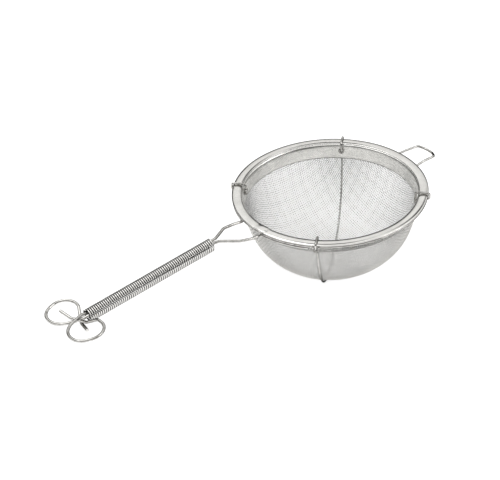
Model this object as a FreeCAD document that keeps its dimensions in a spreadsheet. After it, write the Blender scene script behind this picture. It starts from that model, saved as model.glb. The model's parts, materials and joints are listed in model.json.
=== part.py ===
import FreeCAD, Part

import math
import os

import Sketcher
from FreeCAD import Placement, Rotation, Vector

# A double sieve strainer with a wire frame: two nested mesh bowls under a domed steel rim, a hoop
# and bent wires that carry them, and a loose coil that turns on the handle.
# Every piece is modelled with the rim level at z = 0 and the bowl's axis on Z, the handle towards
# -X. One placement then lays the whole strainer on a table, on its bowl and the ends of its handle.

SIZES = {
    # rim
    "rim_radius": 100.0,
    "rim_inner_radius": 90.4,
    "rim_inner_drop": 1.0,
    "rim_outer_drop": 1.2,
    "rim_dome_radius": 13.6,
    "rim_sheet": 0.7,
    "rim_lip": 0.9,
    "skirt_top_radius": 89.9,
    "skirt_bottom_radius": 87.2,
    "skirt_sheet": 0.6,
    "skirt_top_drop": 2.1,
    "skirt_bottom_drop": 17.2,
    # bowl, measured on the outside of the coarse mesh
    "bowl_top_radius": 92.4,
    "bowl_top_drop": 2.1,
    "bowl_depth": 84.8,
    "bowl_side_radius": 187.0,
    "bowl_side_centre_rise": 22.8,
    "bowl_shoulder_radius": 65.5,
    "bowl_dish_radius": 356.0,
    "coarse_mesh": 0.9,
    "fine_mesh": 0.45,
    "mesh_gap": 0.15,
    # frame wires
    "hoop_wire": 2.0,
    "hoop_radius": 98.9,
    "hoop_drop": 3.6,
    "handle_wire": 3.0,
    "handle_run_radius": 97.9,
    "handle_run_drop": 6.3,
    "handle_run_end": 139.5,
    "handle_run_start": 168.5,
    "rest_wire": 2.5,
    "rest_run_radius": 98.2,
    "rest_run_drop": 6.1,
    "rest_run_end": 38.0,
    "rest_run_start": 11.5,
    "cradle_wire": 2.2,
    "cradle_leg_drop": 7.0,
    "cradle_step_length": 19.0,
    "cradle_touch_drop": 32.0,
    "cradle_gap": 0.3,
    "tie_wire": 1.6,
    "tie_gap": 0.15,
    "tie_lean": 0.4,
    "tie_shoulder_drop": 2.2,
    "tie_bottom_drop": 4.4,
    # hooks over the rim
    "hook_outer_radius": 101.4,
    "hook_inner_radius": 86.9,
    "hook_rise": 1.15,
    "hook_eye_drop": 8.5,
    "hook_eye_radius": 2.0,
    "hook_jog_start": 1.6,
    "hook_jog_end": 3.8,
    "clip_gap": 0.25,
    "clip_foot": 5.0,
    # handle
    "handle_start": 144.0,
    "handle_start_drop": 4.5,
    "handle_droop": 7.6,
    "wire_spread": 1.6,
    "wire_above_coil_axis": 2.3,
    "coil_wire": 1.7,
    "coil_outside": 13.6,
    "coil_pitch": 2.2,
    "coil_turns": 67,
    "coil_setback": 1.0,
    "coil_neck": 0.25,
    # the strainer laid on a table
    "table_tilt": 10.76,
}

doc = FreeCAD.newDocument("double_sieve_strainer")
sheet = doc.addObject("Spreadsheet::Sheet", "Sizes")
for row, (alias, number) in enumerate(SIZES.items(), start=1):
    sheet.set("A%d" % row, alias)
    sheet.set("B%d" % row, str(number))
    sheet.setAlias("B%d" % row, alias)
doc.recompute()

HANDLE_SIDES = {"left": 1, "right": -1}
# corners of a handle wire behind the coil, each with its bend radius: how far past the coil's end,
# how far across towards the wire's own side, and how far above the coil's axis. The left wire
# crosses over the right one, and both loops end in a stub that passes under all of them.
TAIL_CORNERS = {
    "left": [
        (-16.5, 1.6, 2.3, 30),
        (-3.0, 1.2, 2.5, 20),
        (4.5, 1.1, 4.2, 20),
        (29.8, -8.3, 5.7, 20),
        (29.3, -34.0, 7.0, 15.5),
        (-4.9, -46.8, 5.8, 15),
        (-3.3, -18.0, 5.6, 9),
        (3.2, -4.8, -2.3, 7),
        (11.0, 12.0, -2.6, 8),
        (14.0, 27.0, -0.5, 0),
    ],
    "right": [
        (-16.5, 1.6, 2.3, 30),
        (-3.5, 1.8, 1.4, 20),
        (4.5, 1.1, 0.8, 20),
        (29.8, -8.3, 0.7, 20),
        (29.3, -34.0, 0.3, 15.5),
        (-6.1, -48.0, -0.5, 15),
        (-3.1, -20.5, -1.4, 9),
        (5.5, -4.0, -7.0, 8),
        (10.0, 18.5, 0.8, 0),
    ],
}
HOOK_ANGLES = {"left": 135.0, "front": -135.0, "right": -45.0, "rear": 45.0}
pieces = []


def size(alias):
    """The number that the sheet holds under an alias."""
    return float(sheet.get(alias))


def total(words):
    """The value of a sum of aliases and numbers, such as "rim_radius - rim_sheet"."""
    value = 0.0
    sign = 1
    for word in words.split():
        if word in ("+", "-"):
            sign = 1 if word == "+" else -1
        else:
            value += sign * (size(word) if word in SIZES else float(word))
            sign = 1
    return value


def expression(words):
    """The same sum as an expression on the sheet."""
    return " ".join("Sizes." + word if word in SIZES else word for word in words.split())


def new_body(label):
    body = doc.addObject("PartDesign::Body", label)
    body.Label = label
    pieces.append(body)
    return body


def new_sketch(body, name):
    plane = [item for item in body.Origin.OriginFeatures if item.Role == "XZ_Plane"][0]
    sketch = body.newObject("Sketcher::SketchObject", name)
    sketch.AttachmentSupport = [(plane, "")]
    sketch.MapMode = "FlatFace"
    return sketch


def constrain(sketch, name, words, *arguments):
    """Adds a dimension and binds it to the sheet."""
    kind, references = arguments[0], arguments[1:]
    index = sketch.addConstraint(Sketcher.Constraint(kind, *references, total(words)))
    sketch.renameConstraint(index, name)
    sketch.setExpression("Constraints." + name, expression(words))


def revolve(body, sketch):
    turned = body.newObject("PartDesign::Revolution", sketch.Name + "_turned")
    turned.Profile = sketch
    turned.ReferenceAxis = (sketch, ["V_Axis"])
    turned.Angle = 360.0


def upward_arc(start, end, radius):
    """The arc of a radius that bulges upwards, and whether it runs counterclockwise from start."""
    left, right = (start, end) if start.x < end.x else (end, start)
    half_chord = (right - left) * 0.5
    drop = math.sqrt(radius * radius - half_chord.Length ** 2)
    down = Vector(half_chord.y, -half_chord.x, 0).normalize()
    centre = left + half_chord + down * drop
    angles = [math.atan2(point.y - centre.y, point.x - centre.x) for point in (right, left)]
    circle = Part.Circle(centre, Vector(0, 0, 1), radius)
    return Part.ArcOfCircle(circle, *angles), start is right


def polygon_profile(body, name, corners, bulges):
    """A closed profile in the XZ plane.

    corners are (radius, height) sums; bulges maps an edge's number to the alias of its arc radius.
    """
    sketch = new_sketch(body, name)
    points = [Vector(total(x), total(y), 0) for x, y in corners]
    count = len(points)
    first_pos = []
    last_pos = []
    for i, start in enumerate(points):
        end = points[(i + 1) % count]
        if i in bulges:
            arc, starts_here = upward_arc(start, end, total(bulges[i]))
            sketch.addGeometry(arc, False)
            first_pos.append(1 if starts_here else 2)
            last_pos.append(2 if starts_here else 1)
        else:
            sketch.addGeometry(Part.LineSegment(start, end), False)
            first_pos.append(1)
            last_pos.append(2)
    for i in range(count):
        j = (i + 1) % count
        sketch.addConstraint(Sketcher.Constraint("Coincident", i, last_pos[i], j, first_pos[j]))
    for i, (x, y) in enumerate(corners):
        constrain(sketch, "radius_%d" % i, x, "DistanceX", -1, 1, i, first_pos[i])
        constrain(sketch, "height_%d" % i, y, "DistanceY", -1, 1, i, first_pos[i])
    for i, words in bulges.items():
        constrain(sketch, "bulge_%d" % i, words, "Radius", i)
    return sketch


def make_rim_flange():
    """The domed ring, with its outer edge turned down into a lip."""
    body = new_body("rim_flange")
    corners = [
        ("rim_inner_radius", "- rim_inner_drop"),
        ("rim_radius", "- rim_outer_drop"),
        ("rim_radius", "- rim_outer_drop - rim_lip"),
        ("rim_radius - rim_sheet", "- rim_outer_drop - rim_lip"),
        ("rim_radius - rim_sheet", "- rim_outer_drop - rim_sheet"),
        ("rim_inner_radius", "- rim_inner_drop - rim_sheet"),
    ]
    sketch = polygon_profile(body, "rim_profile", corners, {0: "rim_dome_radius", 4: "rim_dome_radius"})
    revolve(body, sketch)


def make_rim_skirt():
    """The inner band that stands in the bowl's mouth and tapers inwards."""
    body = new_body("rim_skirt")
    corners = [
        ("skirt_top_radius", "- skirt_top_drop"),
        ("skirt_top_radius + skirt_sheet", "- skirt_top_drop"),
        ("skirt_bottom_radius + skirt_sheet", "- skirt_bottom_drop"),
        ("skirt_bottom_radius", "- skirt_bottom_drop"),
    ]
    revolve(body, polygon_profile(body, "skirt_profile", corners, {}))


def bowl_arcs(inset):
    """Centres, radii and joints of the bowl's three arcs, offset inwards from the outside."""
    side = size("bowl_side_radius")
    shoulder = size("bowl_shoulder_radius")
    dish = size("bowl_dish_radius")
    rise = size("bowl_side_centre_rise")
    reach = math.sqrt(side ** 2 - (rise + size("bowl_top_drop")) ** 2)
    side_centre = Vector(size("bowl_top_radius") - reach, rise, 0)
    dish_centre = Vector(0, dish - size("bowl_depth"), 0)
    # the shoulder's centre lies side - shoulder from one centre and dish - shoulder from the other
    line = dish_centre - side_centre
    near, far = side - shoulder, dish - shoulder
    along = (near ** 2 - far ** 2 + line.Length ** 2) / (2 * line.Length)
    across = math.sqrt(near ** 2 - along ** 2)
    line.normalize()
    shoulder_centre = side_centre + line * along + Vector(line.y, -line.x, 0) * across
    if shoulder_centre.x < 0:
        shoulder_centre = side_centre + line * along - Vector(line.y, -line.x, 0) * across
    upper = (shoulder_centre - side_centre).normalize()
    lower = (shoulder_centre - dish_centre).normalize()
    top_height = -size("bowl_top_drop")
    top_reach = math.sqrt((side - inset) ** 2 - (top_height - rise) ** 2)
    return {
        "side_centre": side_centre,
        "shoulder_centre": shoulder_centre,
        "dish_centre": dish_centre,
        "top": Vector(side_centre.x + top_reach, top_height, 0),
        "upper_joint": side_centre + upper * (side - inset),
        "lower_joint": dish_centre + lower * (dish - inset),
        "bottom": Vector(0, inset - size("bowl_depth"), 0),
    }


def arc_about(centre, start, end):
    """The arc about a centre from start to end by the shorter way."""
    middle = ((start + end) * 0.5 - centre).normalize() * (start - centre).Length + centre
    return Part.Arc(start, middle, end)


def add_bowl_side(sketch, inset):
    """Adds the three arcs of one side of a mesh to a sketch; returns the first one's number."""
    points = bowl_arcs(inset)
    first = sketch.GeometryCount
    stretches = (
        ("side_centre", "top", "upper_joint"),
        ("shoulder_centre", "upper_joint", "lower_joint"),
        ("dish_centre", "lower_joint", "bottom"),
    )
    for centre, start, end in stretches:
        sketch.addGeometry(arc_about(points[centre], points[start], points[end]), False)
    for upper in (first, first + 1):
        sketch.addConstraint(Sketcher.Constraint("Tangent", upper, 1, upper + 1, 2))
    return first


def make_mesh_bowl(label, inset, sheet_alias):
    """One mesh layer as a closed shell: inset is the sum from the bowl's outside to this layer."""
    body = new_body(label)
    sketch = new_sketch(body, label + "_profile")
    outset = total(inset) if inset else 0.0
    outer = add_bowl_side(sketch, outset)
    inner = add_bowl_side(sketch, outset + size(sheet_alias))
    outer_points = bowl_arcs(outset)
    inner_points = bowl_arcs(outset + size(sheet_alias))
    sketch.addGeometry(Part.LineSegment(inner_points["bottom"], outer_points["bottom"]), False)
    sketch.addGeometry(Part.LineSegment(outer_points["top"], inner_points["top"]), False)
    axis_edge, top_edge = inner + 3, inner + 4
    rules = [
        ("Coincident", axis_edge, 1, inner + 2, 1),
        ("Coincident", axis_edge, 2, outer + 2, 1),
        ("Coincident", top_edge, 1, outer, 2),
        ("Coincident", top_edge, 2, inner, 2),
        ("Coincident", inner, 3, outer, 3),
        ("Coincident", inner + 1, 3, outer + 1, 3),
        ("Coincident", inner + 2, 3, outer + 2, 3),
        ("PointOnObject", axis_edge, 1, -2),
        ("PointOnObject", axis_edge, 2, -2),
        ("PointOnObject", outer + 2, 3, -2),
        ("Horizontal", top_edge),
    ]
    for rule in rules:
        sketch.addConstraint(Sketcher.Constraint(*rule))
    less = " - " + inset.replace(" + ", " - ") if inset else ""
    constrain(sketch, "side", "bowl_side_radius" + less, "Radius", outer)
    constrain(sketch, "shoulder", "bowl_shoulder_radius" + less, "Radius", outer + 1)
    constrain(sketch, "dish", "bowl_dish_radius" + less, "Radius", outer + 2)
    constrain(sketch, "depth", "- bowl_depth" + less.replace("-", "+"), "DistanceY", -1, 1, axis_edge, 2)
    constrain(sketch, "top_drop", "- bowl_top_drop", "DistanceY", -1, 1, top_edge, 1)
    constrain(sketch, "side_centre_rise", "bowl_side_centre_rise", "DistanceY", -1, 1, outer, 3)
    centre_x = outer_points["side_centre"].x
    sketch.addConstraint(Sketcher.Constraint("DistanceX", -1, 1, outer, 3, centre_x))
    constrain(sketch, "thickness", sheet_alias, "DistanceY", axis_edge, 2, axis_edge, 1)
    revolve(body, sketch)


def rounded(corners):
    """Edges of a path through (point, bend radius) corners: straight runs and tangent arcs."""
    edges = []
    last = corners[0][0]
    for before, here, after in zip(corners, corners[1:], corners[2:]):
        point, radius = here
        back = (before[0] - point).normalize()
        ahead = (after[0] - point).normalize()
        half = back.getAngle(ahead) / 2
        if radius <= 0 or half > math.pi / 2 - 1e-6:
            continue
        cut = radius / math.tan(half)
        start = point + back * cut
        end = point + ahead * cut
        middle = point + (back + ahead).normalize() * (radius / math.sin(half) - radius)
        if last.distanceToPoint(start) > 1e-4:
            edges.append(Part.LineSegment(last, start).toShape())
        edges.append(Part.Arc(start, middle, end).toShape())
        last = end
    if last.distanceToPoint(corners[-1][0]) > 1e-4:
        edges.append(Part.LineSegment(last, corners[-1][0]).toShape())
    return edges


def check_path(label, edges):
    """Stops on a gap or a kink between two edges of a wire's path."""
    for number, (edge, following) in enumerate(zip(edges, edges[1:]), start=1):
        gap = edge.valueAt(edge.LastParameter) - following.valueAt(following.FirstParameter)
        heading = edge.tangentAt(edge.LastParameter)
        kink = heading.getAngle(following.tangentAt(following.FirstParameter))
        if gap.Length > 1e-4 or math.degrees(kink) > 0.5:
            raise RuntimeError("%s: gap %.4f mm, kink %.1f degrees after edge %d"
                               % (label, gap.Length, math.degrees(kink), number))


def bent_wire(label, edges, wire_alias):
    """A round wire of one sheet diameter, swept along edges that follow each other smoothly."""
    check_path(label, edges)
    path = doc.addObject("Part::Feature", label + "_path")
    path.Shape = Part.Wire(edges)
    first = edges[0]
    start = first.valueAt(first.FirstParameter)
    heading = first.tangentAt(first.FirstParameter)
    section = doc.addObject("Part::Circle", label + "_section")
    section.setExpression("Radius", "Sizes.%s / 2" % wire_alias)
    section.Placement = Placement(start, Rotation(Vector(0, 0, 1), heading))
    wire = doc.addObject("Part::Sweep", label)
    wire.Label = label
    wire.Sections = [section]
    wire.Spine = (path, ["Edge%d" % (i + 1) for i in range(len(edges))])
    wire.Solid = True
    wire.Frenet = False
    pieces.append(wire)
    return sum(edge.Length for edge in edges)


def around(angle, radius, height, sideways=0.0):
    """A point by its angle about the bowl's axis, radius and height, moved along the rim."""
    turn = math.radians(angle)
    outward = Vector(math.cos(turn), math.sin(turn), 0)
    along_rim = Vector(-math.sin(turn), math.cos(turn), 0)
    return outward * radius + along_rim * sideways + Vector(0, 0, height)


def tangent_corner(angle_a, angle_b, radius, height):
    """Where the tangents of a rim circle at two angles meet."""
    half = math.radians(abs(angle_b - angle_a) / 2)
    return around((angle_a + angle_b) / 2, radius / math.cos(half), height)


def tangent_point(angle, radius, height, distance):
    """A point on the tangent of a rim circle at an angle, a distance along it."""
    return around(angle, radius, height, distance)


def make_hoop_wire():
    """The full ring under the rim's lip."""
    body = new_body("hoop_wire")
    sketch = new_sketch(body, "hoop_section")
    centre = Vector(total("hoop_radius"), total("- hoop_drop"), 0)
    sketch.addGeometry(Part.Circle(centre, Vector(0, 0, 1), total("hoop_wire") / 2), False)
    constrain(sketch, "ring_radius", "hoop_radius", "DistanceX", -1, 1, 0, 3)
    constrain(sketch, "height", "- hoop_drop", "DistanceY", -1, 1, 0, 3)
    constrain(sketch, "wire", "hoop_wire", "Diameter", 0)
    revolve(body, sketch)


def handle_point(along, across, above):
    """A point in the handle's own frame: along the coil's axis from its bowl end, across, above."""
    droop = math.radians(size("handle_droop"))
    start = Vector(-size("handle_start"), 0, -size("handle_start_drop"))
    tailward = Vector(-math.cos(droop), 0, -math.sin(droop))
    upward = Vector(-math.sin(droop), 0, math.cos(droop))
    return start + tailward * along + Vector(0, across, 0) + upward * above


def make_handle_wire(name, side):
    """One of the two handle wires: run under the rim, arm, straight through the coil, tail loop."""
    run_radius = size("handle_run_radius")
    run_height = -size("handle_run_drop")
    spread = size("wire_spread")
    above = size("wire_above_coil_axis")
    run_end = size("handle_run_end") * side
    run_start = size("handle_run_start") * side
    coil_length = size("coil_pitch") * size("coil_turns") + size("coil_setback")
    corners = [
        (tangent_point(run_end, run_radius, run_height, 0.0), 0),
        (tangent_corner(run_end, run_start, run_radius, run_height), run_radius),
        (tangent_point(run_start, run_radius, run_height, 3.9 * side), 4.0),
        (Vector(-108.0, 16.6 * side, -5.4), 25),
        (Vector(-121.5, 14.4 * side, -3.6), 7),
        (Vector(-138.5, 3.2 * side, -2.2), 9),
        (handle_point(4.0, spread * side, above), 12),
    ]
    for along, across, height, bend in TAIL_CORNERS[name]:
        corners.append((handle_point(coil_length + along, across * side, height), bend))
    return bent_wire("handle_wire_" + name, rounded(corners), "handle_wire")


def make_rest_wire():
    """The far rest: a hook for the edge of a pot, its ends running under the rim."""
    radius = size("rest_run_radius")
    height = -size("rest_run_drop")
    run_end, run_start = size("rest_run_end"), size("rest_run_start")
    half = [
        (tangent_point(run_end, radius, height, 0.0), 0),
        (tangent_corner(run_end, run_start, radius, height), radius),
        (tangent_point(run_start, radius, height, -4.0), 5.0),
        (Vector(112.0, 14.0, -4.6), 22),
        (Vector(126.6, 13.2, -5.0), 4.5),
        (Vector(130.8, 5.0, -6.6), 10),
    ]
    other_half = [(Vector(point.x, -point.y, point.z), bend) for point, bend in reversed(half)]
    return bent_wire("rest_wire", rounded(half + other_half), "rest_wire")


def eye_edges(angle):
    """The curled eye at a hook's inner end, from its free end round to the side of its leg."""
    radius = size("hook_eye_radius")
    centre_height = -size("hook_eye_drop")
    points = []
    for turn in (60.0, -60.0, -180.0):
        sideways = radius * math.cos(math.radians(turn))
        rise = radius * math.sin(math.radians(turn))
        points.append(around(angle, size("hook_inner_radius"), centre_height + rise, sideways))
    return [Part.Arc(*points).toShape()]


def hook_corners(angle):
    """Corners of a hook from the side of its eye over the rim to the outside of the hoop."""
    inner = size("hook_inner_radius")
    outer = size("hook_outer_radius")
    rise = size("hook_rise")
    eye_height = -size("hook_eye_drop")
    eye_side = -size("hook_eye_radius")
    return [
        (around(angle, inner, eye_height, eye_side), 0),
        (around(angle, inner, eye_height + size("hook_jog_start"), eye_side), 2.0),
        (around(angle, inner, eye_height + size("hook_jog_end")), 2.0),
        (around(angle, inner, rise), 3.2),
        (around(angle, outer, rise), 2.6),
    ]


def make_rim_clip(name):
    """A short wire clip that holds the rim down on the hoop."""
    angle = HOOK_ANGLES[name]
    hoop_bottom = -size("hoop_drop") - size("hoop_wire") / 2
    below = hoop_bottom - size("cradle_wire") / 2 - size("clip_gap")
    foot = [
        (around(angle, size("hook_outer_radius"), below), 2.0),
        (around(angle, size("hook_outer_radius") - size("clip_foot"), below), 0),
    ]
    edges = eye_edges(angle) + rounded(hook_corners(angle) + foot)
    return bent_wire("rim_clip_" + name, edges, "cradle_wire")


def make_cradle_wire():
    """The wire that carries the bowl from below and hooks over the rim at both ends."""
    offset = size("cradle_gap") + size("cradle_wire") / 2
    arcs = bowl_arcs(-offset)
    outer = size("hook_outer_radius")
    # below the hoop the wire steps in to a tangent of the bowl's side and then follows the bowl
    reach = size("bowl_side_radius") + offset
    slope = math.asin((arcs["side_centre"].y + size("cradle_touch_drop")) / reach)
    touch = arcs["side_centre"] + Vector(math.cos(slope), -math.sin(slope), 0) * reach
    step_in = touch + Vector(math.sin(slope), math.cos(slope), 0) * size("cradle_step_length")
    corner = Vector(outer, -size("cradle_leg_drop"), 0)
    edges = []
    for name, turned in (("front", False), ("rear", True)):
        angle = HOOK_ANGLES[name]

        def place(point, angle=angle):
            return around(angle, point.x, point.y)

        leg = [(place(corner), 4.0), (place(step_in), 6.0), (place(touch), 0)]
        half = eye_edges(angle) + rounded(hook_corners(angle) + leg)
        for centre, start, end in (
            ("side_centre", touch, arcs["upper_joint"]),
            ("shoulder_centre", arcs["upper_joint"], arcs["lower_joint"]),
        ):
            middle = arc_about(arcs[centre], start, end)
            peak = middle.value((middle.FirstParameter + middle.LastParameter) / 2)
            half.append(Part.Arc(place(start), place(peak), place(end)).toShape())
        if turned:
            bottom_end = place(arcs["lower_joint"])
            half = [backwards(edge) for edge in reversed(half)]
            edges.append(Part.Arc(bottom_start, around(angle, 0, arcs["bottom"].y), bottom_end).toShape())
        else:
            bottom_start = place(arcs["lower_joint"])
        edges += half
    return bent_wire("cradle_wire", edges, "cradle_wire")


def backwards(edge):
    """The same line or arc, run from its end to its start."""
    first, last = edge.FirstParameter, edge.LastParameter
    start, middle, end = edge.valueAt(last), edge.valueAt((first + last) / 2), edge.valueAt(first)
    if isinstance(edge.Curve, Part.Line):
        return Part.LineSegment(start, end).toShape()
    return Part.Arc(start, middle, end).toShape()


def make_cradle_tie(name):
    """A short wire hung over the hoop on both sides of the cradle, which it pulls in."""
    angle = HOOK_ANGLES[name]
    hoop_top = -size("hoop_drop") + size("hoop_wire") / 2
    wire = size("tie_wire")
    outside = size("hook_outer_radius") + size("cradle_wire") / 2 + wire / 2 + size("tie_gap")
    beside = size("hoop_radius") + size("hoop_wire") / 2 + wire / 2 + size("tie_gap")
    shoulder = hoop_top - size("tie_shoulder_drop")
    bottom = hoop_top - size("tie_bottom_drop")
    half = [
        (beside, hoop_top, 3.0, 0),
        (beside + size("tie_lean"), shoulder, 2.9, 1.2),
        (outside, bottom, 1.0, 1.2),
    ]
    corners = [(around(angle, out, height, -across), bend) for out, height, across, bend in half]
    corners += [(around(angle, out, height, across), bend) for out, height, across, bend in reversed(half)]
    return bent_wire("cradle_tie_" + name, rounded(corners), "tie_wire")


def make_grip_coil():
    """The close-wound coil, as one tube with a rounded ridge for every turn, inside and out."""
    pitch = size("coil_pitch")
    bead = size("coil_wire") / 2
    middle = size("coil_outside") / 2 - bead
    turns = int(size("coil_turns"))
    neck = bead * math.sin(math.acos(pitch / 2 / bead)) if pitch / 2 < bead else size("coil_neck")
    start = size("coil_setback")
    edges = []
    for step, level in ((1, middle + neck), (-1, middle - neck)):
        side = []
        for i in range(turns):
            low = start + i * pitch
            crown = middle + step * bead
            points = (Vector(level, 0, low), Vector(crown, 0, low + pitch / 2), Vector(level, 0, low + pitch))
            side.append(Part.Arc(*points).toShape())
        edges += side
    for height in (start, start + turns * pitch):
        ends = (Vector(middle + neck, 0, height), Vector(middle - neck, 0, height))
        edges.append(Part.LineSegment(*ends).toShape())
    outline = Part.Wire(Part.sortEdges(edges)[0])
    tube = Part.Face(outline).revolve(Vector(0, 0, 0), Vector(0, 0, 1), 360)
    coil = doc.addObject("Part::Feature", "grip_coil")
    coil.Label = "grip_coil"
    coil.Shape = tube
    base = handle_point(0, 0, 0)
    tailward = handle_point(1, 0, 0) - base
    coil.Placement = Placement(base, Rotation(Vector(0, 0, 1), tailward))
    pieces.append(coil)


def lay_on_table():
    """Tilts every piece about Y, then puts the middle of the whole part's base at the origin."""
    tilt = Placement(Vector(), Rotation(Vector(0, 1, 0), -size("table_tilt")))
    for piece in pieces:
        piece.Placement = tilt.multiply(piece.Placement)
    doc.recompute()
    boxes = [piece.Shape.optimalBoundingBox(False, False) for piece in pieces]
    middle_x = (min(box.XMin for box in boxes) + max(box.XMax for box in boxes)) / 2
    middle_y = (min(box.YMin for box in boxes) + max(box.YMax for box in boxes)) / 2
    floor = min(box.ZMin for box in boxes)
    shift = Placement(Vector(-middle_x, -middle_y, -floor), Rotation())
    for piece in pieces:
        piece.Placement = shift.multiply(piece.Placement)
    doc.recompute()
    return shift.multiply(tilt)


def check_and_export():
    """Stops on any failed object or shape, then writes each piece to its own STEP file."""
    for item in doc.Objects:
        if "Invalid" in item.State or "Error" in item.State:
            raise RuntimeError("%s: %s" % (item.Label, item.State))
    for piece in pieces:
        shape = piece.Shape
        if shape.isNull() or not shape.isValid() or shape.Volume <= 0:
            raise RuntimeError("%s has no valid solid" % piece.Label)
    os.makedirs("parts", exist_ok=True)
    for piece in pieces:
        piece.Shape.exportStep("parts/%s.step" % piece.Label)


make_rim_flange()
make_rim_skirt()
make_mesh_bowl("coarse_mesh_bowl", "", "coarse_mesh")
make_mesh_bowl("fine_mesh_bowl", "coarse_mesh + mesh_gap", "fine_mesh")
make_hoop_wire()
lengths = {}
for side_name, side_sign in HANDLE_SIDES.items():
    lengths["handle_wire_" + side_name] = make_handle_wire(side_name, side_sign)
lengths["rest_wire"] = make_rest_wire()
lengths["cradle_wire"] = make_cradle_wire()
for clip_name in ("left", "right"):
    lengths["rim_clip_" + clip_name] = make_rim_clip(clip_name)
for tie_name in ("front", "rear"):
    lengths["cradle_tie_" + tie_name] = make_cradle_tie(tie_name)
make_grip_coil()
doc.recompute()
table = lay_on_table()
check_and_export()

for piece in pieces:
    report = "%s: %.1f mm3, %d solid" % (piece.Label, piece.Shape.Volume, len(piece.Shape.Solids))
    if piece.Label in lengths:
        report += ", wire length %.1f mm" % lengths[piece.Label]
    print(report)
print("table placement:", table)
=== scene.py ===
import json
import math

import bpy
import numpy as np
from mathutils import Matrix, Vector


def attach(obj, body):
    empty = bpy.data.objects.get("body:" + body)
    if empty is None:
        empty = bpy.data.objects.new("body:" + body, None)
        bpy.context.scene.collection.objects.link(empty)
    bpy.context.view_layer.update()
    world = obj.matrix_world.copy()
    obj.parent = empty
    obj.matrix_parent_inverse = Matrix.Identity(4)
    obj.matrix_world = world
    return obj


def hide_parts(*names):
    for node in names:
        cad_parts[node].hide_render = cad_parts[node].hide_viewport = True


# Looks of a double sieve strainer. The meshes, the rim and the coil are built here in "level"
# coordinates, in millimetres: the rim level at z = 0, the bowl's axis on Z and the handle towards
# -X. to_row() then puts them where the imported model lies, in metres.

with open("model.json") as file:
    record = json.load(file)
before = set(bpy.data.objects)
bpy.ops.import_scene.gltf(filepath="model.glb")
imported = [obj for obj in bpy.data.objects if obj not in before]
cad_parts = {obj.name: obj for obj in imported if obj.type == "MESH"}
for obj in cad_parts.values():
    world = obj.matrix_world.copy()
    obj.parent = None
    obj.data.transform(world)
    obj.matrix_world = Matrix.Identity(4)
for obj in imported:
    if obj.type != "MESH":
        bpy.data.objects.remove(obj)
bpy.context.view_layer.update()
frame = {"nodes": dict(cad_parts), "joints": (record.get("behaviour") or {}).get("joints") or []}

MM = 0.001
SEED = 7

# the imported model's driving sizes that the looks need, in millimetres and (radius, height) pairs
HANDLE_START = (-144.0, 0.0, -4.5)
HANDLE_DROOP = math.radians(7.6)
COIL_PITCH, COIL_TURNS, COIL_SETBACK = 2.2, 67, 1.0
COIL_WIRE, COIL_OUTSIDE = 1.7, 13.6
BOWL_TOP_RADIUS, BOWL_TOP_DROP, BOWL_DEPTH = 92.4, 2.1, 84.8
SIDE_RADIUS, SIDE_CENTRE_RISE = 187.0, 22.8
SHOULDER_RADIUS, DISH_RADIUS = 65.5, 356.0
COARSE_LAYER, LAYER_GAP, FINE_LAYER = 0.9, 0.15, 0.45
RIM_RADIUS, RIM_INNER_RADIUS, RIM_SHEET = 100.0, 90.4, 0.7
RIM_INNER_DROP, RIM_OUTER_DROP, RIM_LIP, RIM_DOME = 1.0, 1.2, 0.9, 13.6
SKIRT_TOP, SKIRT_BOTTOM, SKIRT_SHEET = (89.9, -2.1), (87.2, -17.2), 0.6

# the two woven layers, the outer one first. inset is how far the middle of a layer lies inside the
# bowl's surface. crest is how far each side of a crossing a wire keeps its height, as a share of
# the pitch; 0 gives the wire one point for each crossing. sides is how many a wire's section has.
WEAVES = (
    {"label": "coarse_mesh_bowl", "slot": "coarse_mesh", "thickness": COARSE_LAYER,
     "inset": COARSE_LAYER / 2, "pitch": 2.3, "wire": 0.52, "crest": 0.24, "sides": 5},
    {"label": "fine_mesh_bowl", "slot": "fine_mesh", "thickness": FINE_LAYER,
     "inset": COARSE_LAYER + LAYER_GAP + FINE_LAYER / 2, "pitch": 1.05, "wire": 0.16, "crest": 0.0,
     "sides": 3},
)
# the warp and the weft of a layer are each split into this many pieces, to keep their meshes small
WEAVE_SHARES = 2

# the nodes that are built anew here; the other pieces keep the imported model's meshes
REBUILT = ("rim_flange", "rim_skirt", "coarse_mesh_bowl", "fine_mesh_bowl", "grip_coil")

rng = np.random.default_rng(SEED)


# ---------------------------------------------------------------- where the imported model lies

def level_placement():
    """The turn and shift from level coordinates in metres to the row frame, from the grip's hinge."""
    joint = frame["joints"][0]
    axis = Vector(joint["axis"])
    tilt = math.atan2(-axis.z, -axis.x) - HANDLE_DROOP
    turn = np.array(Matrix.Rotation(-tilt, 3, "Y"))
    half_way = (COIL_PITCH * COIL_TURNS + COIL_SETBACK) / 2
    along = np.array([-math.cos(HANDLE_DROOP), 0.0, -math.sin(HANDLE_DROOP)])
    hinge = (np.array(HANDLE_START) + along * half_way) * MM
    return turn, np.array(joint["pos_m"]) - turn @ hinge


LEVEL_TURN, LEVEL_SHIFT = level_placement()


def to_row(points):
    """Level millimetres to row metres."""
    return np.asarray(points) * MM @ LEVEL_TURN.T + LEVEL_SHIFT


# ---------------------------------------------------------------- mesh building

def new_object(name, verts, faces, material, attributes=None):
    mesh = bpy.data.meshes.new(name)
    mesh.from_pydata(verts.tolist(), [], faces)
    mesh.polygons.foreach_set("use_smooth", np.ones(len(mesh.polygons), bool))
    for key, values in (attributes or {}).items():
        if values.ndim == 1:
            mesh.attributes.new(key, "FLOAT", "POINT").data.foreach_set("value", values)
        else:
            mesh.attributes.new(key, "FLOAT_VECTOR", "POINT").data.foreach_set("vector", values.ravel())
    mesh.materials.append(material)
    mesh.validate()
    piece = bpy.data.objects.new(name, mesh)
    bpy.context.scene.collection.objects.link(piece)
    return piece


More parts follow.
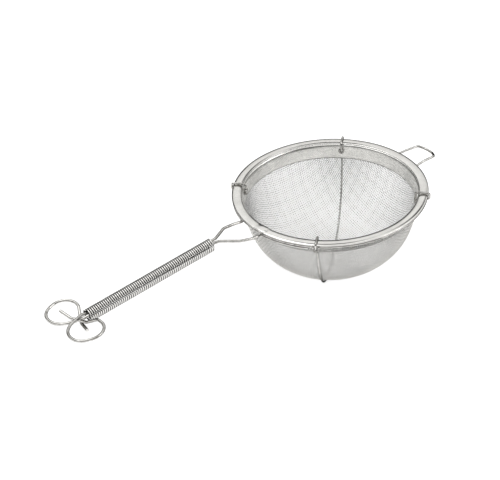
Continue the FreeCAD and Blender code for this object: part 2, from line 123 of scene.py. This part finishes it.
def grid_faces(rings, sides, first=0, closed=False):
    """Quads of a tube of rings, each of sides points, with a cap at both ends unless it closes."""
    ring = np.arange(rings if closed else rings - 1)
    side = np.arange(sides)
    here = first + ring[:, None] * sides
    ahead = first + ((ring[:, None] + 1) % rings) * sides
    beside = (side + 1) % sides
    quads = np.stack([here + side, here + beside, ahead + beside, ahead + side], axis=-1)
    faces = quads.reshape(-1, 4).tolist()
    if not closed:
        faces.append((first + side[::-1]).tolist())
        faces.append((first + (rings - 1) * sides + side).tolist())
    return faces


def wire_rings(points, outward, radius, sides):
    """Rings of a round wire through points; outward is a direction across it at each point."""
    tangent = np.gradient(points, axis=0)
    tangent /= np.linalg.norm(tangent, axis=1, keepdims=True)
    across = np.cross(tangent, outward)
    across /= np.linalg.norm(across, axis=1, keepdims=True)
    upright = np.cross(across, tangent)
    turn = np.arange(sides) * 2 * math.pi / sides
    spokes = np.cos(turn)[:, None] * upright[:, None, :] + np.sin(turn)[:, None] * across[:, None, :]
    return (points[:, None, :] + radius * spokes).reshape(-1, 3)


def wires_object(name, wires, radius, sides, material):
    """One object of many wires, each (points, outward).

    Each wire has a tone of its own, and "crown" is 1 on its outward side and -1 on its inward side.
    The coil's and the fine mesh's materials paint shade on their wires by crown.
    """
    verts, faces, tones, crowns = [], [], [], []
    first = 0
    for points, outward in wires:
        rings = wire_rings(points, outward, radius, sides)
        verts.append(rings)
        faces += grid_faces(len(points), sides, first)
        tones.append(np.full(len(rings), rng.random()))
        crowns.append(np.tile(np.cos(np.arange(sides) * 2 * math.pi / sides), len(points)))
        first += len(rings)
    attributes = {"tone": np.concatenate(tones), "crown": np.concatenate(crowns)}
    return new_object(name, to_row(np.vstack(verts)), faces, material, attributes)


# ---------------------------------------------------------------- the bowl's surface

def bowl_profile(inset):
    """Arcs of the bowl's profile from its bottom up: (start length, start slope, centre, radius)."""
    side, shoulder, dish = (size - inset for size in (SIDE_RADIUS, SHOULDER_RADIUS, DISH_RADIUS))
    reach = math.sqrt(SIDE_RADIUS ** 2 - (SIDE_CENTRE_RISE + BOWL_TOP_DROP) ** 2)
    side_centre = Vector((BOWL_TOP_RADIUS - reach, SIDE_CENTRE_RISE))
    dish_centre = Vector((0.0, DISH_RADIUS - BOWL_DEPTH))
    near, far = SIDE_RADIUS - SHOULDER_RADIUS, DISH_RADIUS - SHOULDER_RADIUS
    line = dish_centre - side_centre
    along = (near ** 2 - far ** 2 + line.length_squared) / (2 * line.length)
    across = math.sqrt(near ** 2 - along ** 2)
    line.normalize()
    shoulder_centre = side_centre + line * along + Vector((line.y, -line.x)) * across
    to_dish = shoulder_centre - dish_centre
    to_side = shoulder_centre - side_centre
    dish_slope = math.atan2(to_dish.x, -to_dish.y)
    side_slope = math.atan2(to_side.x, -to_side.y)
    top_slope = math.acos((SIDE_CENTRE_RISE + BOWL_TOP_DROP) / side)
    dish_length = dish * dish_slope
    shoulder_length = dish_length + shoulder * (side_slope - dish_slope)
    arcs = [
        (0.0, 0.0, dish_centre, dish),
        (dish_length, dish_slope, shoulder_centre, shoulder),
        (shoulder_length, side_slope, side_centre, side),
    ]
    return arcs, shoulder_length + side * (top_slope - side_slope)


def on_bowl(arcs, length, turn):
    """Points of the bowl at a length from its bottom and an angle about its axis, with the two
    directions along the surface and the outward normal."""
    radius = np.zeros_like(length)
    height = np.zeros_like(length)
    slope = np.zeros_like(length)
    for start, start_slope, centre, size in arcs:
        here = length >= start
        angle = start_slope + (length - start) / size
        slope = np.where(here, angle, slope)
        radius = np.where(here, centre.x + size * np.sin(angle), radius)
        height = np.where(here, centre.y - size * np.cos(angle), height)
    cos, sin = np.cos(turn), np.sin(turn)
    point = np.stack([radius * cos, radius * sin, height], axis=-1)
    uphill = np.stack([np.cos(slope) * cos, np.cos(slope) * sin, np.sin(slope)], axis=-1)
    around = np.stack([-radius * sin, radius * cos, np.zeros_like(radius)], axis=-1)
    normal = np.stack([np.sin(slope) * cos, np.sin(slope) * sin, -np.cos(slope)], axis=-1)
    return point, uphill, around, normal


def drape_quadrant(arcs, pitch, top):
    """Lengths and angles of the crossings in one quarter of a square cloth drawn into the bowl.

    The wires keep their length and the squares shear: each crossing is one pitch from the two
    before it, which Newton's method finds.
    """
    newton_steps, least_determinant, longest_turn = 12, 1e-9, 0.3
    count = int(top / pitch) + 3
    length = np.full((count, count), np.nan)
    turn = np.full((count, count), np.nan)
    length[:, 0] = length[0, :] = np.arange(count) * pitch
    turn[:, 0] = 0.0
    turn[0, :] = math.pi / 2
    for diagonal in range(2, 2 * count - 1):
        i = np.arange(max(1, diagonal - count + 1), min(diagonal, count))
        j = diagonal - i
        known = (length[i - 1, j] < top + 2 * pitch) & (length[i, j - 1] < top + 2 * pitch)
        i, j = i[known], j[known]
        if not len(i):
            continue
        one = on_bowl(arcs, length[i - 1, j], turn[i - 1, j])[0]
        other = on_bowl(arcs, length[i, j - 1], turn[i, j - 1])[0]
        behind = on_bowl(arcs, length[i - 1, j - 1], turn[i - 1, j - 1])[0]
        guess = one + other - behind
        new_length = np.maximum(length[i - 1, j], length[i, j - 1]) + 0.5 * pitch
        new_turn = np.arctan2(guess[:, 1], guess[:, 0])
        for _ in range(newton_steps):
            point, uphill, around, _normal = on_bowl(arcs, new_length, new_turn)
            to_one, to_other = point - one, point - other
            one_error = (to_one * to_one).sum(1) - pitch ** 2
            other_error = (to_other * to_other).sum(1) - pitch ** 2
            one_uphill, one_around = 2 * (to_one * uphill).sum(1), 2 * (to_one * around).sum(1)
            other_uphill, other_around = 2 * (to_other * uphill).sum(1), 2 * (to_other * around).sum(1)
            determinant = one_uphill * other_around - one_around * other_uphill
            determinant = np.where(np.abs(determinant) < least_determinant, least_determinant, determinant)
            length_step = (one_error * other_around - other_error * one_around) / determinant
            turn_step = (other_error * one_uphill - one_error * other_uphill) / determinant
            new_length = new_length - np.clip(length_step, -pitch, pitch)
            new_turn = new_turn - np.clip(turn_step, -longest_turn, longest_turn)
        length[i, j] = new_length
        turn[i, j] = new_turn
    return length, turn


def half_wire(point, normal, length, top):
    """The crossings and normals of half a wire, from the bowl's middle to its mouth, where the wire
    is cut off, or None for a wire too short to hold."""
    stop = int(np.argmin(length <= top))
    if stop < 2:
        return None
    if np.isnan(length[stop]):
        return point[:stop], normal[:stop]
    half = point[:stop + 1].copy()
    share = (top - length[stop - 1]) / (length[stop] - length[stop - 1])
    half[-1] = half[-2] + share * (half[-1] - half[-2])
    return half, normal[:stop + 1]


def woven_wires(weave):
    """Warp and weft wires of a cloth drawn into the bowl, each a list of (points, outward)."""
    arcs, top = bowl_profile(weave["inset"])
    length, turn = drape_quadrant(arcs, weave["pitch"], top)
    point, _uphill, _around, normal = on_bowl(arcs, length, turn)
    count = len(length)
    amplitude = (weave["thickness"] - weave["wire"]) / 2
    crest = weave["crest"]
    sets = ([], [])
    for direction, wires in enumerate(sets):
        to_other_half = np.ones(3)
        to_other_half[direction] = -1.0
        for row in range(1 - count, count):
            line = (slice(None), abs(row)) if direction == 0 else (abs(row), slice(None))
            half = half_wire(point[line], normal[line], length[line], top)
            if half is None:
                continue
            to_side = np.ones(3)
            to_side[1 - direction] = -1.0 if row < 0 else 1.0
            nodes, outward = (np.vstack([(part * to_other_half)[:0:-1], part]) * to_side for part in half)
            index = np.arange(1 - len(half[0]), len(half[0]))
            # a wire goes over one crossing and under the next, and its neighbours the other way
            lift = amplitude * (1 - 2 * ((index + row + direction) % 2))
            if crest:
                ahead = np.diff(nodes, axis=0)
                after = nodes[:-1] + crest * ahead + lift[:-1, None] * outward[:-1]
                before = nodes[1:] - crest * ahead + lift[1:, None] * outward[1:]
                path = np.stack([after, before], axis=1).reshape(-1, 3)
                outward = np.stack([outward[:-1], outward[1:]], axis=1).reshape(-1, 3)
            else:
                path = nodes + lift[:, None] * outward
            wires.append((path, outward))
    return sets


# ---------------------------------------------------------------- materials

# a Mix node's sockets: its factor, then the numbers or the colours that it blends, and the results
FACTOR, NUMBER_A, NUMBER_B, COLOUR_A, COLOUR_B = 0, 2, 3, 6, 7
NUMBER_RESULT, COLOUR_RESULT = 0, 2


def shader(name, colour, metallic, roughness):
    """A new material with its Principled shader, and functions that add and join its nodes."""
    material = bpy.data.materials.new(name)
    material.use_nodes = True
    tree = material.node_tree
    principled = tree.nodes["Principled BSDF"]
    principled.inputs["Base Color"].default_value = (*colour, 1.0)
    principled.inputs["Metallic"].default_value = metallic
    principled.inputs["Roughness"].default_value = roughness

    def node(kind, **inputs):
        made = tree.nodes.new(kind)
        for key, value in inputs.items():
            key = key.replace("_", " ")
            if isinstance(value, bpy.types.NodeSocket):
                tree.links.new(value, made.inputs[key])
            else:
                made.inputs[key].default_value = value
        return made

    return material, principled, node, tree.links.new


def steel(name, dark, light, rough, cloud_scale, line_scale, bump_mm, own=None, strip=False, edge=1.0):
    """Bare steel: cloudy colour, and fine drawn lines or scratches in its roughness and bump.

    rough is (least, most). own is (attribute, low, high, weight): weight is how much of the colour
    follows a mesh attribute, from dark at low to light at high; it carries the coarse wires' random
    tones, and the painted shade of the coil, the fine mesh and the skirt. strip lays the lines along the
    "strip" attribute, the way that a band was rolled. edge is the grey that the steel's shine takes
    at a grazing angle.
    """
    material, principled, node, link = shader(name, light, 1.0, rough[0])
    principled.inputs["Specular Tint"].default_value = (edge, edge, edge, 1.0)
    place = node("ShaderNodeTexCoord")
    clouds = node("ShaderNodeTexNoise", Scale=cloud_scale, Detail=4.0, Roughness=0.6)
    link(place.outputs["Object"], clouds.inputs["Vector"])
    share = node("ShaderNodeMapRange", From_Min=0.35, From_Max=0.65)
    link(clouds.outputs["Fac"], share.inputs["Value"])
    share = share.outputs["Result"]
    if own:
        key, low, high, weight = own
        attribute = node("ShaderNodeAttribute")
        attribute.attribute_name = key
        follow = node("ShaderNodeMapRange", From_Min=low, From_Max=high)
        link(attribute.outputs["Fac"], follow.inputs["Value"])
        blend = node("ShaderNodeMix")
        blend.inputs[FACTOR].default_value = weight
        link(share, blend.inputs[NUMBER_A])
        link(follow.outputs["Result"], blend.inputs[NUMBER_B])
        share = blend.outputs[NUMBER_RESULT]
    colour = node("ShaderNodeMix")
    colour.data_type = "RGBA"
    colour.inputs[COLOUR_A].default_value = (*dark, 1.0)
    colour.inputs[COLOUR_B].default_value = (*light, 1.0)
    link(share, colour.inputs[FACTOR])
    link(colour.outputs[COLOUR_RESULT], principled.inputs["Base Color"])

    spread = node("ShaderNodeMapping", Scale=line_scale)
    if strip:
        along = node("ShaderNodeAttribute")
        along.attribute_name = "strip"
        link(along.outputs["Vector"], spread.inputs["Vector"])
    else:
        link(place.outputs["Object"], spread.inputs["Vector"])
    lines = node("ShaderNodeTexNoise", Scale=1.0, Detail=3.0, Roughness=0.65)
    link(spread.outputs["Vector"], lines.inputs["Vector"])
    polish = node("ShaderNodeMapRange", From_Min=0.3, From_Max=0.7, To_Min=rough[0], To_Max=rough[1])
    link(lines.outputs["Fac"], polish.inputs["Value"])
    link(polish.outputs["Result"], principled.inputs["Roughness"])
    bump = node("ShaderNodeBump", Strength=1.0, Distance=bump_mm * MM)
    link(lines.outputs["Fac"], bump.inputs["Height"])
    link(bump.outputs["Normal"], principled.inputs["Normal"])
    return material


def floor_material():
    """A plain, faintly grained floor that glows a little, so that it stays an even pale tone."""
    material, principled, node, link = shader("pale_floor", (0.6, 0.6, 0.6), 0.0, 0.6)
    grain = node("ShaderNodeTexNoise", Scale=60.0, Detail=3.0)
    share = node("ShaderNodeMapRange", From_Min=0.3, From_Max=0.7, To_Min=0.55, To_Max=0.7)
    link(grain.outputs["Fac"], share.inputs["Value"])
    link(share.outputs["Result"], principled.inputs["Roughness"])
    principled.inputs["Specular IOR Level"].default_value = 0.2
    principled.inputs["Emission Color"].default_value = (1.0, 1.0, 1.0, 1.0)
    principled.inputs["Emission Strength"].default_value = 0.72
    return material


# ---------------------------------------------------------------- the pieces

def build_mesh_layer(weave, look):
    """One woven layer, each wire modelled; warp and weft are separate pieces."""
    for way, wires in zip(("warp", "weft"), woven_wires(weave)):
        for share in range(WEAVE_SHARES):
            name = "%s_%s_%d" % (weave["label"], way, share + 1)
            first = len(wires) * share // WEAVE_SHARES
            last = len(wires) * (share + 1) // WEAVE_SHARES
            piece = wires_object(name, wires[first:last], weave["wire"] / 2, weave["sides"], look)
            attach(piece, "strainer")
            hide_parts(weave["label"])


def build_grip_coil(look):
    """The close-wound coil as a real helix of round wire."""
    steps_per_turn, sides = 30, 14
    bead = COIL_WIRE / 2
    middle = COIL_OUTSIDE / 2 - bead
    # the wire's centre starts and ends one radius inside the coil's ends
    length = COIL_PITCH * COIL_TURNS
    turns = (length - COIL_WIRE) / COIL_PITCH
    share = np.linspace(0.0, 1.0, int(turns * steps_per_turn) + 1)
    angle = share * turns * 2 * math.pi
    down = np.array([-math.cos(HANDLE_DROOP), 0.0, -math.sin(HANDLE_DROOP)])
    up = np.array([-math.sin(HANDLE_DROOP), 0.0, math.cos(HANDLE_DROOP)])
    across = np.array([0.0, 1.0, 0.0])
    radial = np.cos(angle)[:, None] * across + np.sin(angle)[:, None] * up
    along = COIL_SETBACK + bead + share * (length - COIL_WIRE)
    points = np.array(HANDLE_START) + along[:, None] * down + middle * radial
    piece = wires_object("grip_coil_helix", [(points, radial)], bead, sides, look)
    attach(piece, "grip")
    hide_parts("grip_coil")


def dome_profile(steps):
    """The flange's section, counterclockwise: flat-topped dome, rolled lip, underside, inner roll."""
    half = (RIM_RADIUS - RIM_INNER_RADIUS) / 2
    middle = RIM_INNER_RADIUS + half
    crest = RIM_DOME - math.sqrt(RIM_DOME ** 2 - half ** 2)
    across = np.linspace(-1.0, 1.0, steps)
    edges = -(RIM_INNER_DROP + RIM_OUTER_DROP) / 2 - (RIM_OUTER_DROP - RIM_INNER_DROP) / 2 * across
    # the inner half falls away evenly, the outer half stays flat up to its lip
    inner_power, outer_power = 2.2, 3.4
    power = np.where(across < 0, inner_power, outer_power)
    top = np.stack([middle + half * across, edges + crest * (1 - np.abs(across) ** power)], axis=1)[1:-1]
    roll, roll_drop = 0.45, 0.3375
    turns = np.radians((60.0, 35.0, 10.0, -10.0))
    lip = np.stack([RIM_RADIUS - roll + roll * np.cos(turns),
                    -RIM_OUTER_DROP - roll_drop + roll * np.sin(turns)], axis=1)
    # the cut edge of the lip, the dome's underside, and the sheet's rolled inner edge
    bottom = -RIM_OUTER_DROP - RIM_LIP
    hem = [(RIM_RADIUS, bottom + 0.15), (RIM_RADIUS - 0.12, bottom),
           (RIM_RADIUS - RIM_SHEET + 0.1, bottom), (RIM_RADIUS - RIM_SHEET, bottom + 0.12)]
    under = top[-2:1:-1] - np.array([0.0, RIM_SHEET])
    edge, fall = RIM_INNER_RADIUS, -RIM_INNER_DROP
    turned = [(edge + 0.75, fall - 0.66), (edge + 0.3, fall - RIM_SHEET), (edge + 0.04, fall - 0.55),
              (edge, fall - 0.3), (edge + 0.1, fall - 0.05)]
    return np.vstack([top, lip, hem, under, turned])


def build_rim_flange(look):
    """The domed ring, rolled from strip: its last end laps over its first in a raised round tip."""
    section = dome_profile(21)
    middle = (RIM_INNER_RADIUS + RIM_RADIUS) / 2
    # angles in radians: where the strip starts, its climb on to its own start, and its lap over it
    seam, ramp, lap = math.radians(-172.0), math.radians(5.0), math.radians(5.0)
    # millimetres: the lap's height, its round tip's length, and how far the tip bends down
    lap_rise, tip, tip_drop = RIM_SHEET * 0.9, 3.4, 0.35
    # the width of the tip's very end, as a share of the rim's
    narrowest = 0.12
    plain_rings, seam_rings = 720, 48
    angles = np.concatenate([
        np.linspace(0.0, 2 * math.pi - ramp, plain_rings, endpoint=False),
        np.linspace(2 * math.pi - ramp, 2 * math.pi + lap, seam_rings),
    ])
    end = angles[-1]
    steps = np.linalg.norm(np.diff(section, axis=0, prepend=section[:1]), axis=1)
    girth = np.cumsum(steps)
    rings, strips = [], []
    for angle in angles:
        climb = np.clip((angle - (2 * math.pi - ramp)) / ramp, 0.0, 1.0)
        climb = climb * climb * (3 - 2 * climb) * lap_rise
        left = (end - angle) * middle
        width = 1.0 if left > tip else max(narrowest, math.sqrt(max(0.0, 1 - (1 - left / tip) ** 2)))
        # thin sheet is never quite flat
        wave = 0.03 * math.sin(5 * angle + 1.0) + 0.02 * math.sin(13 * angle + 2.0)
        radius = middle + (section[:, 0] - middle) * width
        height = section[:, 1] + climb + wave - (1 - width) * tip_drop
        turn = seam + angle
        rings.append(np.stack([radius * math.cos(turn), radius * math.sin(turn), height], axis=-1))
        strips.append(np.stack([np.full_like(girth, angle * middle), girth, np.zeros_like(girth)], axis=-1))
    faces = grid_faces(len(rings), len(section))
    strip = {"strip": np.concatenate(strips)}
    piece = new_object("rim_flange_rolled", to_row(np.concatenate(rings)), faces, look, strip)
    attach(piece, "strainer")
    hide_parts("rim_flange")


def build_rim_skirt(look):
    """The inner band: a rolled shoulder under the flange, and the slight creases of thin sheet."""
    (top_radius, top), (bottom_radius, bottom) = SKIRT_TOP, SKIRT_BOTTOM
    levels, turns, creases = 18, 540, 26
    # millimetres: the shoulder's depth, how far it leans out, and how far the band bows in below it
    shoulder_depth, shoulder_lean, bow = 0.9, 0.4, 0.75
    # the levels are closer together near the shoulder
    share = np.linspace(0.0, 1.0, levels) ** 1.6
    depth = share * (top - bottom)
    shoulder = np.exp(-depth / shoulder_depth)
    lean = shoulder_lean * shoulder - bow * (1 - shoulder) * (1 - share ** 2)
    angle = np.arange(turns) * 2 * math.pi / turns
    crease = np.zeros((turns, levels))
    for _ in range(creases):
        # angles in radians, the dent in millimetres, and start and stop as shares of the band
        place, width = rng.random() * 2 * math.pi, math.radians(0.8 + 1.6 * rng.random())
        dent, slant = 0.05 + 0.13 * rng.random(), rng.normal() * 0.03
        start, stop = rng.random() * 0.4, 0.6 + rng.random() * 0.4
        away = (angle[:, None] - place - slant * share + math.pi) % (2 * math.pi) - math.pi
        fade = np.clip((share - start) * 6, 0, 1) * np.clip((stop - share) * 6, 0, 1)
        crease += dent * np.exp(-(away / width) ** 2) * fade
    crease *= np.sin(share * math.pi) ** 0.5
    radius = top_radius + (bottom_radius - top_radius) * share + np.zeros_like(crease)
    height = top + (bottom - top) * share + np.zeros_like(crease)
    inner = np.stack([radius + lean - crease, height], axis=-1)
    outer = np.stack([radius + SKIRT_SHEET + np.minimum(lean, 0.0) - crease, height], axis=-1)
    section = np.concatenate([inner, outer[:, ::-1]], axis=1)
    cos, sin = np.cos(angle)[:, None], np.sin(angle)[:, None]
    rings = np.stack([section[..., 0] * cos, section[..., 0] * sin, section[..., 1]], axis=-1)
    faces = grid_faces(turns, levels * 2, closed=True)
    length = np.broadcast_to(angle[:, None] * top_radius, section[..., 0].shape)
    strip = np.stack([length, section[..., 1], np.zeros_like(length)], axis=-1).reshape(-1, 3)
    # inside is 1 on the inner face and 0 on the outer one; the skirt's material paints shade on the outer
    # face by it
    inside = np.tile(np.repeat((1.0, 0.0), levels), turns)
    attributes = {"strip": strip, "inside": inside}
    piece = new_object("rim_skirt_band", to_row(rings.reshape(-1, 3)), faces, look, attributes)
    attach(piece, "strainer")
    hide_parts("rim_skirt")


def build_floor():
    """A square floor under the strainer, in metres."""
    half = 3.0
    verts = np.array([(-half, -half, 0), (half, -half, 0), (half, half, 0), (-half, half, 0)])
    floor = new_object("floor", verts, [(0, 1, 2, 3)], floor_material())


# ---------------------------------------------------------------- camera, light

def build_camera():
    """A view from above and beside the handle, set about the level rim and turned with it."""
    azimuth, elevation, roll = math.radians(-32.948), math.radians(34.334), math.radians(-3.699)
    # in rim radii: the camera's distance from the rim's middle, and its shifts to the left and down
    distance, side_shift, up_shift = 18.296, 0.81125, 0.51903
    # in millimetres
    sensor_width, lens = 36.0, 129.55176
    back = Vector((math.sin(azimuth) * math.cos(elevation), -math.cos(azimuth) * math.cos(elevation),
                   math.sin(elevation)))
    right = Vector((math.cos(azimuth), math.sin(azimuth), 0.0))
    up = back.cross(right)
    rolled_right = right * math.cos(roll) + up * math.sin(roll)
    rolled_up = up * math.cos(roll) - right * math.sin(roll)
    place = (back * distance - rolled_right * side_shift - rolled_up * up_shift) * RIM_RADIUS
    turn = Matrix(LEVEL_TURN.tolist()) @ Matrix((rolled_right, rolled_up, back)).transposed()
    data = bpy.data.cameras.new("camera")
    data.sensor_width = sensor_width
    data.lens = lens
    data.clip_start, data.clip_end = 0.05, 20.0
    camera = bpy.data.objects.new("camera", data)
    camera.matrix_world = Matrix.Translation(to_row(np.array(place))) @ turn.to_4x4()
    bpy.context.scene.collection.objects.link(camera)
    bpy.context.scene.camera = camera


def area_light(name, place, size, power):
    """A soft lamp aimed at the strainer; place and size are in metres and power in watts."""
    target = Vector((0.0, 0.0, 0.05))
    data = bpy.data.lights.new(name, "AREA")
    data.shape = "RECTANGLE"
    data.size, data.size_y = size
    data.energy = power
    lamp = bpy.data.objects.new(name, data)
    lamp.location = place
    lamp.rotation_euler = (target - Vector(place)).to_track_quat("-Z", "Y").to_euler()
    bpy.context.scene.collection.objects.link(lamp)


# shades of the studio behind the strainer and before it, as (sine of the elevation, grey), and the
# azimuth that lies behind it
FAR_SHADES = ((0.0, 0.20), (0.03, 0.01), (0.40, 0.02), (0.48, 0.90), (0.58, 1.1), (1.0, 1.1))
NEAR_SHADES = ((0.0, 0.50), (0.04, 0.10), (0.10, 0.04), (0.50, 0.05), (0.66, 0.90), (1.0, 1.2))
FAR_AZIMUTH = math.radians(57.0)
# small dark cards that the rim mirrors: azimuth, elevation and radius in degrees, and how dark
DARK_CARDS = ((-87.0, 34.0, 16.0, 0.95), (36.0, 50.0, 9.0, 0.97), (76.0, 66.0, 9.0, 0.97))
# a card fades from its full dark to none between these shares of its radius
CARD_CORE, CARD_EDGE = 0.6, 1.4


def build_light():
    """A studio that is white overhead and dark lower down, a few dark cards, and two soft lamps."""
    world = bpy.data.worlds.new("studio")
    bpy.context.scene.world = world
    world.use_nodes = True
    tree = world.node_tree
    new, link = tree.nodes.new, tree.links.new
    direction = new("ShaderNodeTexCoord").outputs["Generated"]

    def towards(vector):
        """How much a direction points along a vector."""
        dot = new("ShaderNodeVectorMath")
        dot.operation = "DOT_PRODUCT"
        link(direction, dot.inputs[0])
        dot.inputs[1].default_value = vector
        return dot.outputs["Value"]

    def shades(stops):
        """The grey at a direction's height, a touch warm."""
        made = new("ShaderNodeValToRGB")
        link(towards((0.0, 0.0, 1.0)), made.inputs[0])
        while len(made.color_ramp.elements) < len(stops):
            made.color_ramp.elements.new(0.5)
        for element, (position, grey) in zip(made.color_ramp.elements, stops):
            element.position = position
            element.color = (grey, grey, grey * 0.985, 1.0)
        return made.outputs["Color"]

    def mapped(value, low, high, to_low, to_high):
        """A value's smooth change from to_low at low to to_high at high."""
        made = new("ShaderNodeMapRange")
        made.interpolation_type = "SMOOTHSTEP"
        link(value, made.inputs["Value"])
        for key, number in zip(("From Min", "From Max", "To Min", "To Max"), (low, high, to_low, to_high)):
            made.inputs[key].default_value = number
        return made.outputs["Result"]

    def times(one, other):
        product = new("ShaderNodeMath")
        product.operation = "MULTIPLY"
        link(one, product.inputs[0])
        link(other, product.inputs[1])
        return product.outputs[0]

    # the near shades give way to the far ones over a band that crosses the strainer
    side = mapped(towards((math.cos(FAR_AZIMUTH), math.sin(FAR_AZIMUTH), 0.0)), -0.25, 0.25, 0.0, 1.0)
    mix = new("ShaderNodeMix")
    mix.data_type = "RGBA"
    link(side, mix.inputs[FACTOR])
    link(shades(NEAR_SHADES), mix.inputs[COLOUR_A])
    link(shades(FAR_SHADES), mix.inputs[COLOUR_B])
    strength = None
    for azimuth, elevation, radius, dark in DARK_CARDS:
        turn, rise = math.radians(azimuth), math.radians(elevation)
        card = (math.cos(turn) * math.cos(rise), math.sin(turn) * math.cos(rise), math.sin(rise))
        edge = math.cos(math.radians(radius * CARD_EDGE))
        core = math.cos(math.radians(radius * CARD_CORE))
        light_left = mapped(towards(card), edge, core, 1.0, 1.0 - dark)
        strength = light_left if strength is None else times(strength, light_left)
    background = tree.nodes["Background"]
    link(mix.outputs[COLOUR_RESULT], background.inputs["Color"])
    link(strength, background.inputs["Strength"])
    area_light("key", (-0.9, 0.6, 1.7), (1.3, 1.3), 8.0)
    area_light("fill", (1.1, -1.5, 1.5), (1.3, 0.3), 7.0)
    bpy.context.scene.view_settings.view_transform = "Standard"


def dress_cad_wires(look):
    """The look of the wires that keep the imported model's meshes."""
    for name, piece in frame["nodes"].items():
        if name not in REBUILT:
            for slot in piece.material_slots:
                slot.material = look
            piece.data.polygons.foreach_set("use_smooth", np.ones(len(piece.data.polygons), bool))


# ---------------------------------------------------------------- the scene

build_camera()
build_light()
build_floor()
wire_look = steel("bright_wire", (0.44, 0.43, 0.41), (0.70, 0.69, 0.67), rough=(0.03, 0.10),
                  cloud_scale=180.0, line_scale=(500.0, 500.0, 500.0), bump_mm=0.004, edge=0.0)
# painted shade: the sides of the coil's turns, which face each other, and the turns' insides are painted
# darker than their backs, as the shade between the turns
coil_painted_shade_look = steel("coil_wire", (0.06, 0.06, 0.055), (0.84, 0.83, 0.81), rough=(0.12, 0.24),
                  cloud_scale=180.0, line_scale=(500.0, 500.0, 500.0), bump_mm=0.004,
                  own=("crown", 0.1, 0.85, 0.9), edge=0.0)
rim_look = steel("rim_steel", (0.72, 0.71, 0.69), (0.80, 0.79, 0.77), rough=(0.12, 0.22),
                 cloud_scale=60.0, line_scale=(0.03, 5.0, 1.0), bump_mm=0.0015, strip=True, edge=0.0)
# painted shade: the skirt is bright on its inner face and painted dark on its outer one, where it lies in
# shade behind the mesh
skirt_painted_shade_look = steel("skirt_steel", (0.06, 0.06, 0.05), (0.98, 0.97, 0.94), rough=(0.22, 0.34),
                   cloud_scale=45.0, line_scale=(0.05, 3.0, 1.0), bump_mm=0.002,
                   own=("inside", 0.0, 1.0, 0.8), strip=True)
# each coarse wire has a tone of its own
coarse_look = steel("coarse_mesh_wire", (0.70, 0.69, 0.67), (0.95, 0.94, 0.92), rough=(0.14, 0.28),
                    cloud_scale=400.0, line_scale=(900.0, 900.0, 900.0), bump_mm=0.01,
                    own=("tone", 0.0, 1.0, 0.4), edge=0.1)
# painted shade: the fine wires are painted darker on their outward side, towards the coarse mesh, for the
# shade that the coarse mesh casts on them
fine_painted_shade_look = steel("fine_mesh_wire", (0.98, 0.985, 0.99), (0.40, 0.40, 0.40), rough=(0.25, 0.42),
                  cloud_scale=400.0, line_scale=(1200.0, 1200.0, 1200.0), bump_mm=0.005,
                  own=("crown", -0.5, 0.7, 0.92))
dress_cad_wires(wire_look)
for weave, look in zip(WEAVES, (coarse_look, fine_painted_shade_look)):
    build_mesh_layer(weave, look)
build_grip_coil(coil_painted_shade_look)
build_rim_flange(rim_look)
build_rim_skirt(skirt_painted_shade_look)
